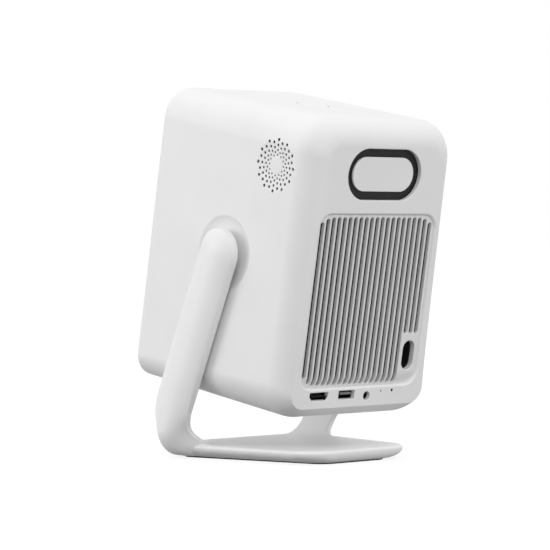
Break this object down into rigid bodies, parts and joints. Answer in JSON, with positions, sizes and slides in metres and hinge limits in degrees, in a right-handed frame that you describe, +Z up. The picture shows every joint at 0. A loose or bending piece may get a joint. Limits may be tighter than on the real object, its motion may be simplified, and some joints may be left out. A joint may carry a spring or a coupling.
{
  "type": "tilting portable projector",
  "caption": "Portable projector with a tall rounded head that tilts between the arms of a one-piece yoke stand, with a slotted rear grille and a row of sockets.",
  "frame": {"origin": "on the resting face of the base pad, straight under the tilt axis", "axes": "+Z up; -Y the way the lens faces, +Y the grille and sockets; +X the projector's own left side. The tilt axis lies along X."},
  "size_m": [0.149, 0.1735, 0.2386],
  "materials": {
    "white_casing": "fine matt white moulding",
    "white_stand": "smooth satin white moulding",
    "white_grille": "fine matt white moulding",
    "white_badge": "satin white, left bare",
    "white_button": "satin white",
    "black_tray": "satin black",
    "dark_panel": "dark smoked gloss",
    "dark_glass": "dark tinted glass",
    "lens_glass": "coated lens glass",
    "black_plastic": "matt black moulding",
    "black_rubber": "matt black rubber",
    "steel": "plain steel",
    "spring_steel": "plain spring steel",
    "brass": "turned brass",
    "aluminium": "plain aluminium",
    "socket_metal": "nickel-plated sheet steel",
    "green_board": "green solder mask",
    "grey_plastic": "grey moulding"
  },
  "bodies": {
    "stand": {"stand_yoke": "white_stand", "base_pad": "black_rubber", "pivot_shaft_left": "steel", "pivot_shaft_right": "steel", "friction_washer_left": "spring_steel", "friction_washer_right": "spring_steel", "pivot_nut_left": "steel", "pivot_nut_right": "steel"},
    "head": {"main_shell": "white_casing", "rear_grille": "white_grille", "badge_cover": "white_badge", "badge_tray": "black_tray", "front_panel": "dark_panel", "lens_window": "dark_glass", "sensor_window": "dark_glass", "mains_inlet": "black_plastic", "audio_jack": "black_plastic", "hdmi_socket": "socket_metal", "usb_socket": "socket_metal", "main_board": "green_board", "power_board": "green_board", "key_board": "green_board", "key_switch": "black_plastic", "reset_switch": "black_plastic", "speaker_left": "black_plastic", "speaker_right": "black_plastic", "inner_frame": "aluminium", "heatsink": "aluminium", "frame_screw_1": "steel", "frame_screw_2": "steel", "frame_screw_3": "steel", "frame_screw_4": "steel", "fan_screw_1": "steel", "fan_screw_2": "steel", "fan_screw_3": "steel", "fan_screw_4": "steel", "light_engine": "grey_plastic", "focus_motor": "steel", "autofocus_camera": "black_plastic", "fan_frame": "black_plastic", "pivot_bush_left": "brass", "pivot_bush_right": "brass"},
    "power_button": {"power_button": "white_button"},
    "reset_button": {"reset_button": "grey_plastic"},
    "focus_ring": {"focus_ring": "black_plastic"},
    "focus_pinion": {"focus_pinion": "brass"},
    "lens_barrel": {"lens_barrel": "black_plastic", "front_lens": "lens_glass"},
    "fan_rotor": {"fan_rotor": "black_plastic"}
  },
  "joints": [
    {"name": "body_tilt", "type": "hinge", "parent": "stand", "child": "head", "pos_m": [0, 0, 0.132], "axis": [-1, 0, 0], "range_deg": [-25, 80]},
    {"name": "power_button_press", "type": "slide", "parent": "head", "child": "power_button", "axis": [0, -0.1754, -0.9845], "range_m": [0, 0.0008], "stiffness_N_per_m": 1500},
    {"name": "reset_button_press", "type": "slide", "parent": "head", "child": "reset_button", "axis": [0, -0.9845, 0.1754], "range_m": [0, 0.0003], "stiffness_N_per_m": 2000},
    {"name": "focus_ring_turn", "type": "hinge", "parent": "head", "child": "focus_ring", "pos_m": [0, -0.03505, 0.18497], "axis": [0, 0.9845, -0.1754], "range_deg": [0, 120]},
    {"name": "focus_pinion_turn", "type": "hinge", "parent": "head", "child": "focus_pinion", "pos_m": [0.03, -0.03505, 0.18497], "axis": [0, 0.9845, -0.1754], "range_deg": [-480, 0]},
    {"name": "lens_slide", "type": "slide", "parent": "head", "child": "lens_barrel", "axis": [0, -0.9845, 0.1754], "range_m": [0, 0.003]},
    {"name": "fan_spin", "type": "hinge", "parent": "head", "child": "fan_rotor", "pos_m": [0, 0.03881, 0.11696], "axis": [0, 0.9845, -0.1754], "continuous": true}
  ],
  "couplings": [
    {"joint": "focus_ring_turn", "follows": "lens_slide", "rad_per_m": 698.13},
    {"joint": "focus_pinion_turn", "follows": "lens_slide", "rad_per_m": -2792.5}
  ]
}
